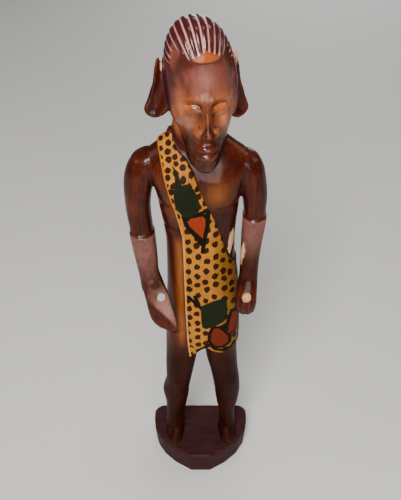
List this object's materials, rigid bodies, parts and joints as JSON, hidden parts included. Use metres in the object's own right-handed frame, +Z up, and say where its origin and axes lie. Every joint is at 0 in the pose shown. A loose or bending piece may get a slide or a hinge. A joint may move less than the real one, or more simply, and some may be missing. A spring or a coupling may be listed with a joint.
{
  "type": "carved standing figure",
  "caption": "Small carved wooden standing figure draped in a painted spotted cloth, on an oval base cut from the same block.",
  "frame": {"origin": "middle of the base's underside", "axes": "+Z up through the figure, -Y the way the figure faces, +X towards the figure's left hand"},
  "size_m": [0.058, 0.034, 0.255],
  "materials": {
    "carved_wood": "varnished dark red hardwood, with the cloth painted in ochre with dark spots"
  },
  "bodies": {
    "root": {"carved_figure": "carved_wood"}
  },
  "joints": []
}
